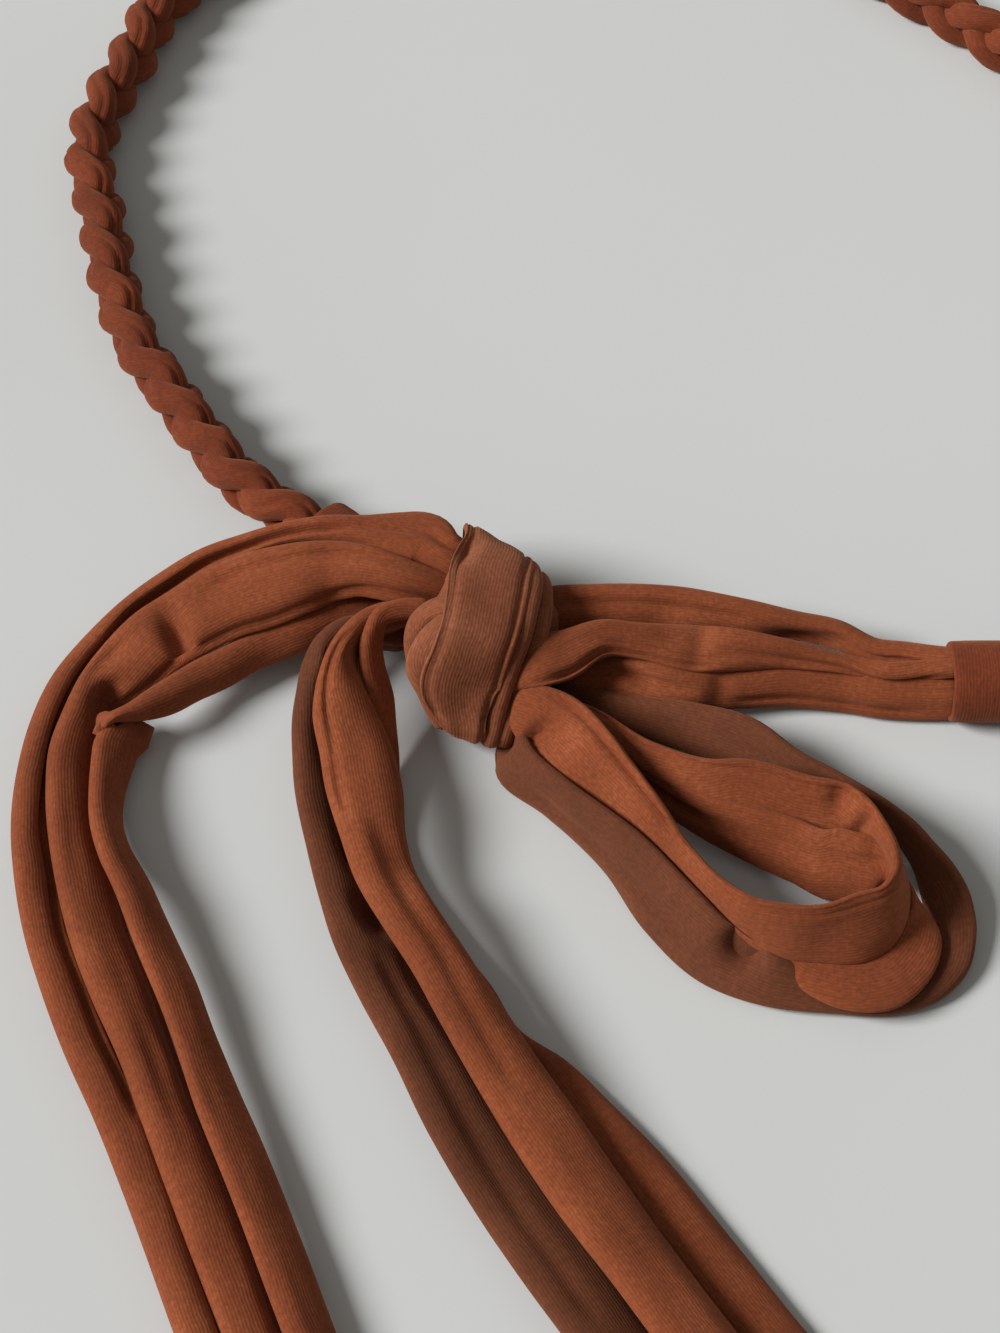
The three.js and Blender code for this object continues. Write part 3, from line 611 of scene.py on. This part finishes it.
# The knot's inner turns: a rounded body as sections across x, and the rolls that show at its left
core = {
    "rows": [
        (-17, -5, 11, 6, 6), (-15.6, -5, 11, 14, 12), (-13, -4, 12, 24, 17), (-9, -1, 13.5, 36, 20),
        (-1, -1, 13.5, 35, 20), (4, 1, 13, 27, 18), (8, 2, 12, 20, 14), (12, 2, 11, 8, 8),
    ],
    "rolls": [
        [(-4, -2, 24, 5, 4, 0), (-9.4, -1.9, 24, 5, 4, 0), (-13.4, -1.7, 22.2, 5, 4, 0),
         (-16.2, -2.4, 19, 5, 4, 0), (-17.2, -4.4, 15, 5, 4, 0), (-16.4, -7.4, 10, 5, 4, 0)],
        [(-6, -4.5, 23, 8, 4, 0), (-11, -7.4, 22.2, 8, 4, 10), (-13.6, -9.6, 19.6, 8.5, 4.4, 20),
         (-15, -12, 16, 8.5, 4.6, 30), (-13.6, -14.4, 12, 8, 4.4, 30), (-11.8, -16.6, 8, 7, 4, 20),
         (-10, -18, 5, 6, 4, 0)],
        [(-12, -6, 6, 6, 4, 0), (-12.2, -9.5, 7, 6, 4, 10), (-11, -13.6, 7, 6, 4, 0),
         (-8.4, -16.4, 6, 6, 4, 0), (-3, -17, 5, 5, 4, 0)],
    ],
}


def joined(name, meshes):
    whole = bmesh.new()
    for mesh in meshes:
        whole.from_mesh(mesh)
        bpy.data.meshes.remove(mesh)
    mesh = bpy.data.meshes.new(name)
    whole.to_mesh(mesh)
    whole.free()
    return mesh


def coreMesh():
    style = {**plain, "seed": 41, "square": 2, "relief": 0.4}
    rows, stations = throughRows(core["rows"], 1.0)
    across = np.tile([0.0, 1.0, 0.0], (len(rows), 1))
    up = np.tile([0.0, 0.0, 1.0], (len(rows), 1))
    body = roll("body", rows[:, :3], across, up, rows[:, 3], rows[:, 4], stations, style)
    rolls = [stripMesh(f"turn{k}", table, {"seed": 42 + k, "step": 0.7})
             for k, table in enumerate(core["rolls"])]
    return joined("knot_core", [body, *rolls])


pieces["knot_core"] = addPiece("knot_core_cloth", coreMesh(), materials["knot_jersey"])
print("knot: ready")

# The braid's route and the inputs of its strands' node tree
braid = {
    "route": [
        (-34.5, 25.4, 7.5), (-49, 38, 7), (-56, 44, 6.6), (-63, 54, 6.1), (-70, 64.5, 6.1),
        (-76, 74.5, 6.1), (-82, 84, 6.1), (-86.5, 96, 6.1), (-89, 103.5, 6.1), (-93.5, 123.5, 6.1),
        (-98.5, 144.5, 6.1), (-98, 155.5, 6.1), (-95.5, 166.5, 6.1), (-92, 176.5, 6.1),
        (-84, 201, 6.1), (-46, 243, 6.1), (-8, 254, 6.1), (32, 251, 6.1), (68, 236, 6.1),
        (97, 211, 6.1), (127, 182, 6.1), (147, 150, 6.1), (157, 112, 6.1), (156, 72, 6.1),
        (146, 34, 6.1), (133, 9, 6.1), (121, -4, 6.6), (110.5, -9, 7.5), (102, -9, 7.5),
    ],
    "Period": 39 * mm, "Swing": 3.35 * mm, "Lift": 2.1 * mm, "Twist": math.radians(40),
    "Roll": math.radians(68), "Press": 0.18,
    "Wide": 6.9 * mm, "Thick": 6.2 * mm, "Step": 0.9 * mm,
    "Crease": 0.7 * mm, "Waviness": 0.9 * mm,
}


# How the creases run along a strand: where round it, how far they stray and how narrow they are
creases = {"seats": (0.02, 0.5, 0.98), "stray": 0.22, "narrow": 1500}
perUnit = 1 / (uvUnit * mm)
half = (0.5, 0.5, 1)


def newTree(name, floats, others):
    tree = bpy.data.node_groups.new(name, "GeometryNodeTree")
    tree.interface.new_socket("Geometry", in_out="INPUT", socket_type="NodeSocketGeometry")
    for label, kind in {**{n: "Float" for n in floats}, **others}.items():
        tree.interface.new_socket(label, in_out="INPUT", socket_type="NodeSocket" + kind)
    tree.interface.new_socket("Geometry", in_out="OUTPUT", socket_type="NodeSocketGeometry")
    return tree, tree.nodes.new("NodeGroupInput").outputs


# A section swept along a line, with the cloth's map from the lengths stored on the two
def swept(add, line, section):
    body = add("GeometryNodeCurveToMesh", {"Curve": line, "Profile Curve": section})
    around = add("GeometryNodeInputNamedAttribute", {"Name": "around"})
    along = add("GeometryNodeInputNamedAttribute", {"Name": "along"})
    cloth = add("ShaderNodeCombineXYZ", (around, along))
    cloth = add("ShaderNodeVectorMath", {0: cloth, "Scale": perUnit}, operation="SCALE")
    body = add("GeometryNodeStoreNamedAttribute", {"Geometry": body, "Name": "UVMap", "Value": cloth},
               data_type="FLOAT2", domain="CORNER")
    return add("GeometryNodeMergeByDistance", {"Geometry": body, "Distance": 0.02 * mm})


def endTree(add, body, material):
    body = add("GeometryNodeSetShadeSmooth", {"Geometry": body})
    body = add("GeometryNodeRealizeInstances", (body,))
    body = add("GeometryNodeSetMaterial", {"Geometry": body, "Material": material})
    add("NodeGroupOutput", (body,))


def braidStrandTree():
    floats = ["Period", "Turn", "Roll", "Press", "Swing", "Lift", "Twist", "Wide", "Thick", "Step",
              "Crease", "Waviness"]
    tree, given = newTree("braidStrand", floats, {"Jersey": "Material"})
    add = partial(addNode, tree)
    line = add("GeometryNodeMeshToCurve", {"Mesh": given["Geometry"]})
    line = add("GeometryNodeResampleCurve", {"Curve": line, "Length": given["Step"]}, mode="LENGTH")
    along = add("GeometryNodeSplineParameter").outputs["Length"]
    turns = add("ShaderNodeMath", (along, given["Period"]), operation="DIVIDE")
    turns = add("ShaderNodeMath", (turns, given["Turn"]), operation="ADD")
    turns = add("ShaderNodeMath", (turns, 2 * math.pi), operation="MULTIPLY")
    line = add("GeometryNodeStoreNamedAttribute", {"Geometry": line, "Name": "phase", "Value": turns})
    phase = add("GeometryNodeInputNamedAttribute", {"Name": "phase"})
    ahead = add("GeometryNodeInputTangent")
    right = add("ShaderNodeVectorMath", (ahead, (0, 0, 1)), operation="CROSS_PRODUCT")
    right = add("ShaderNodeVectorMath", (right,), operation="NORMALIZE")
    # The braid lies rolled to its right, so that one side of it shows more
    right = add("ShaderNodeVectorRotate", {"Vector": right, "Axis": ahead, "Angle": given["Roll"]},
                rotation_type="AXIS_ANGLE")
    face = add("ShaderNodeVectorMath", (right, ahead), operation="CROSS_PRODUCT")
    swing = add("ShaderNodeMath", (phase,), operation="SINE")
    swing = add("ShaderNodeMath", (swing, given["Swing"]), operation="MULTIPLY")
    lift = add("ShaderNodeMath", (phase, 2), operation="MULTIPLY")
    lift = add("ShaderNodeMath", (lift,), operation="SINE")
    lift = add("ShaderNodeMath", (lift, given["Lift"]), operation="MULTIPLY")
    sideways = add("ShaderNodeVectorMath", {0: right, "Scale": swing}, operation="SCALE")
    upward = add("ShaderNodeVectorMath", {0: face, "Scale": lift}, operation="SCALE")
    offset = add("ShaderNodeVectorMath", (sideways, upward), operation="ADD")
    line = add("GeometryNodeSetPosition", {"Geometry": line, "Offset": offset})
    line = add("GeometryNodeSetCurveNormal", {"Curve": line}, mode="Z_UP")
    wave = add("ShaderNodeMath", (phase,), operation="COSINE")
    twist = add("ShaderNodeMath", (given["Twist"], -1), operation="MULTIPLY")
    tilt = add("ShaderNodeMath", (wave, twist), operation="MULTIPLY")
    tilt = add("ShaderNodeMath", (tilt, given["Roll"]), operation="ADD")
    line = add("GeometryNodeSetCurveTilt", {"Curve": line, "Tilt": tilt})
    # The other strands press it thin where they cross
    slim = add("ShaderNodeMath", (wave, 2), operation="POWER")
    slim = add("ShaderNodeMath", (slim, given["Press"]), operation="MULTIPLY")
    slim = add("ShaderNodeMath", (1, slim), operation="SUBTRACT")
    line = add("GeometryNodeSetCurveRadius", {"Curve": line, "Radius": slim})
    line = add("GeometryNodeStoreNamedAttribute", {"Geometry": line, "Name": "along", "Value": along})
    # The strand's section, an open ring so that the cloth's map can have a seam
    ring = add("GeometryNodeCurveArc", {"Resolution": 33, "Radius": 1, "Sweep Angle": 2 * math.pi})
    size = add("ShaderNodeCombineXYZ", (given["Thick"], given["Wide"], 1))
    size = add("ShaderNodeVectorMath", (size, half), operation="MULTIPLY")
    section = add("GeometryNodeTransform", {"Geometry": ring, "Scale": size})
    around = add("GeometryNodeSplineParameter").outputs
    for label, value in (("around", around["Length"]), ("share", around["Factor"])):
        section = add("GeometryNodeStoreNamedAttribute", {"Geometry": section, "Name": label, "Value": value})
    body = swept(add, line, section)
    # A crease that wanders along the strand on either face, and slight lumps
    place = add("GeometryNodeInputPosition")
    wander = add("ShaderNodeTexNoise", {"Vector": place, "Scale": 60, "Detail": 1})
    share = add("GeometryNodeInputNamedAttribute", {"Name": "share"})
    share = add("ShaderNodeMath", (wander, creases["stray"], share), operation="MULTIPLY_ADD")
    cut = 0
    for seat in creases["seats"]:
        off = add("ShaderNodeMath", (share, seat + creases["stray"] / 2), operation="SUBTRACT")
        bell = add("ShaderNodeMath", (off, off), operation="MULTIPLY")
        bell = add("ShaderNodeMath", (bell, -creases["narrow"]), operation="MULTIPLY")
        bell = add("ShaderNodeMath", (bell,), operation="EXPONENT")
        cut = add("ShaderNodeMath", (cut, bell), operation="ADD")
    cut = add("ShaderNodeMath", (cut, given["Crease"]), operation="MULTIPLY")
    lumps = add("ShaderNodeTexNoise", {"Vector": place, "Scale": 170, "Detail": 1.5})
    push = add("ShaderNodeMath", (lumps, 0.5), operation="SUBTRACT")
    push = add("ShaderNodeMath", (push, given["Waviness"]), operation="MULTIPLY")
    push = add("ShaderNodeMath", (push, cut), operation="SUBTRACT")
    push = add("ShaderNodeVectorMath", {0: add("GeometryNodeInputNormal"), "Scale": push}, operation="SCALE")
    body = add("GeometryNodeSetPosition", {"Geometry": body, "Offset": push})
    # Where it rests, the surface keeps it flat
    split = add("ShaderNodeSeparateXYZ", (place,)).outputs
    rest = add("ShaderNodeMath", (split[2], 0.02, 0.1 * mm), operation="MULTIPLY_ADD")
    rest = add("ShaderNodeMath", (split[2], rest), operation="MAXIMUM")
    rest = add("ShaderNodeCombineXYZ", (split[0], split[1], rest))
    body = add("GeometryNodeSetPosition", {"Geometry": body, "Position": rest})
    endTree(add, body, given["Jersey"])
    return tree


def woundCollarTree():
    tree, given = newTree("woundCollar", ["Long", "Deep", "High", "Thick"],
                          {"Middle": "Vector", "Heading": "Rotation", "Jersey": "Material"})
    add = partial(addNode, tree)
    ring = add("GeometryNodeCurvePrimitiveCircle", {"Resolution": 96, "Radius": 1}, mode="RADIUS")
    size = add("ShaderNodeCombineXYZ", (given["Deep"], given["High"], 1))
    size = add("ShaderNodeVectorMath", (size, half), operation="MULTIPLY")
    ring = add("GeometryNodeTransform", {"Geometry": ring, "Scale": size})
    length = add("GeometryNodeSplineParameter").outputs["Length"]
    line = add("GeometryNodeStoreNamedAttribute", {"Geometry": ring, "Name": "along", "Value": length})
    # A flat band with rounded edges
    arc = add("GeometryNodeCurveArc", {"Resolution": 49, "Radius": 1, "Sweep Angle": 2 * math.pi})
    place = add("GeometryNodeInputPosition")
    split = add("ShaderNodeSeparateXYZ", (place,)).outputs
    corners = []
    for side, spread in ((split[0], given["Thick"]), (split[1], given["Long"])):
        reach = add("ShaderNodeMath", (side,), operation="ABSOLUTE")
        reach = add("ShaderNodeMath", (reach, 0.42), operation="POWER")
        sign = add("ShaderNodeMath", (side,), operation="SIGN")
        reach = add("ShaderNodeMath", (reach, sign), operation="MULTIPLY")
        spread = add("ShaderNodeMath", (spread, 0.5), operation="MULTIPLY")
        corners.append(add("ShaderNodeMath", (reach, spread), operation="MULTIPLY"))
    arc = add("GeometryNodeSetPosition", {"Geometry": arc, "Position": add("ShaderNodeCombineXYZ", corners)})
    section = add("GeometryNodeStoreNamedAttribute", {"Geometry": arc, "Name": "around", "Value": length})
    body = swept(add, line, section)
    lumps = add("ShaderNodeTexNoise", {"Vector": place, "Scale": 120, "Detail": 2})
    push = add("ShaderNodeMath", (lumps, 0.5), operation="SUBTRACT")
    push = add("ShaderNodeMath", (push, 0.9 * mm), operation="MULTIPLY")
    push = add("ShaderNodeVectorMath", {0: add("GeometryNodeInputNormal"), "Scale": push}, operation="SCALE")
    body = add("GeometryNodeSetPosition", {"Geometry": body, "Offset": push})
    body = add("GeometryNodeTransform",
               {"Geometry": body, "Translation": given["Middle"], "Rotation": given["Heading"]})
    endTree(add, body, given["Jersey"])
    return tree


# Runs a tree on a mesh of its guide points and keeps the result as a plain mesh
def grown(name, guide, tree, values):
    holder = bpy.data.objects.new(name + "_guide", guide)
    scene.collection.objects.link(holder)
    modifier = holder.modifiers.new("grow", "NODES")
    modifier.node_group = tree
    known = {item.name: item.identifier for item in tree.interface.items_tree if item.in_out == "INPUT"}
    for label, value in values.items():
        modifier[known[label]] = value
    reach = holder.evaluated_get(bpy.context.evaluated_depsgraph_get())
    mesh = bpy.data.meshes.new_from_object(reach)
    mesh.name = name
    bpy.data.objects.remove(holder)
    finished = bmesh.new()
    finished.from_mesh(mesh)
    edges = [e for e in finished.edges if e.is_boundary]
    if edges:
        bmesh.ops.holes_fill(finished, edges=edges, sides=0)
    bmesh.ops.recalc_face_normals(finished, faces=finished.faces)
    finished.to_mesh(mesh)
    finished.free()
    return mesh


def guideLine(points):
    mesh = bpy.data.meshes.new("guide")
    mesh.from_pydata(placed(points).tolist(), [(k, k + 1) for k in range(len(points) - 1)], [])
    return mesh


strandTree = braidStrandTree()
routeLine, routeStations = throughRows(braid["route"], 1.0)
for k in range(3):
    name = f"braid_strand_{k + 1}"
    values = {key: value for key, value in braid.items() if key != "route"}
    mesh = grown(name, guideLine(routeLine), strandTree,
                 {**values, "Turn": k / 3, "Jersey": materials["braid_jersey"]})
    pieces[name] = addPiece(name + "_cloth", mesh, materials["braid_jersey"])
print("braid:", round(routeStations[-1]), "mm long")

collars = {
    "collar_left": {"middle": (-33, 24, 7.5), "heading": math.atan2(-0.69, 0.72)},
    "collar_right": {"middle": (100, -9, 7.5), "heading": 0},
    "size": {"Long": 15.5 * mm, "Deep": 15.6 * mm, "High": 14.2 * mm, "Thick": 1.8 * mm},
}
collarTree = woundCollarTree()
for name in ("collar_left", "collar_right"):
    place = collars[name]
    values = {**collars["size"], "Middle": Vector(placed(place["middle"])),
              "Heading": (math.pi / 2, 0, place["heading"] + math.pi / 2),
              "Jersey": materials["braid_jersey"]}
    mesh = grown(name, guideLine([(0, 0, 0), (1, 0, 0)]), collarTree, values)
    pieces[name] = addPiece(name + "_cloth", mesh, materials["braid_jersey"])
print("collars: 2")


takeUp = 1.15  # a strand's length over the braid's, a guess


def laidAs(name):
    if name.startswith("braid"):
        return routeStations[-1] * takeUp * mm, "folded"
    closed = name.startswith("knot")
    table = np.array((strips if name in strips else bands)[name]["rows"], float)
    if name in bands:
        table = (table[:, :3] + table[:, 3:]) / 2  # the middle line between the two edges
    stations = throughRows(table, 1.0, closed)[1]
    length = stations[-1] + (stations[1] if closed else 0)
    return length * mm, "folded" if closed else "gathered" if name.startswith("loop") else "laid"


lowest = 0.1 * mm  # cloth flattens where it meets the surface

for name, piece in pieces.items():
    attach(piece, "root")
    for vertex in piece.data.vertices:
        vertex.co.z = max(vertex.co.z, lowest)
    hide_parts(name)
    if name != "knot_core" and not name.startswith("collar"):
        length, held = laidAs(name)

# The pale matt surface that the belt lies on
surface = {"size": 3.0, "pale": "#cbcdce", "grain": "#c3c6c6"}


def makeFloor():
    reach = surface["size"] / 2
    mesh = bpy.data.meshes.new("floor")
    corners = [(-reach, -reach, 0), (reach, -reach, 0), (reach, reach, 0), (-reach, reach, 0)]
    mesh.from_pydata(corners, [], [(0, 1, 2, 3)])
    material = bpy.data.materials.new("mattPaper")
    material.use_nodes = True
    tree = material.node_tree
    shader = tree.nodes["Principled BSDF"]
    spot = addNode(tree, "ShaderNodeTexCoord").outputs["Object"]
    mottle = addNode(tree, "ShaderNodeTexNoise", {"Vector": spot, "Scale": 6, "Detail": 5})
    mix = addNode(tree, "ShaderNodeMix", {0: mottle, 6: linear(surface["pale"]), 7: linear(surface["grain"])},
                  data_type="RGBA")
    tree.links.new(mix.outputs[2], shader.inputs["Base Color"])
    shader.inputs["Roughness"].default_value = 0.85
    shader.inputs["Specular IOR Level"].default_value = 0.2
    floor = addPiece("floor", mesh, material)


makeFloor()
light = {
    "sun": {"from": (-1.0, -0.12, 0.72), "spread": 22, "strength": 4.35, "tint": "#fdfcfa"},
    "room": {"tint": "#f2eee6", "strength": 0.27},
}


# Daylight from a window at the left, and the pale room's own light from all round
def makeLight():
    sun = light["sun"]
    data = bpy.data.lights.new("window", "SUN")
    data.angle = math.radians(sun["spread"])
    data.energy = sun["strength"]
    data.color = linear(sun["tint"])[:3]
    lamp = bpy.data.objects.new("window", data)
    lamp.location = sun["from"]
    lamp.rotation_euler = (-Vector(sun["from"])).to_track_quat("-Z", "Y").to_euler()
    scene.collection.objects.link(lamp)
    world = bpy.data.worlds.new("room")
    world.use_nodes = True
    background = world.node_tree.nodes["Background"]
    background.inputs[0].default_value = linear(light["room"]["tint"])
    background.inputs[1].default_value = light["room"]["strength"]
    scene.world = world


makeLight()
scene.view_settings.view_transform = "Standard"

print("triangles:", sum(sum(len(p.vertices) - 2 for p in o.data.polygons) for o in pieces.values()))
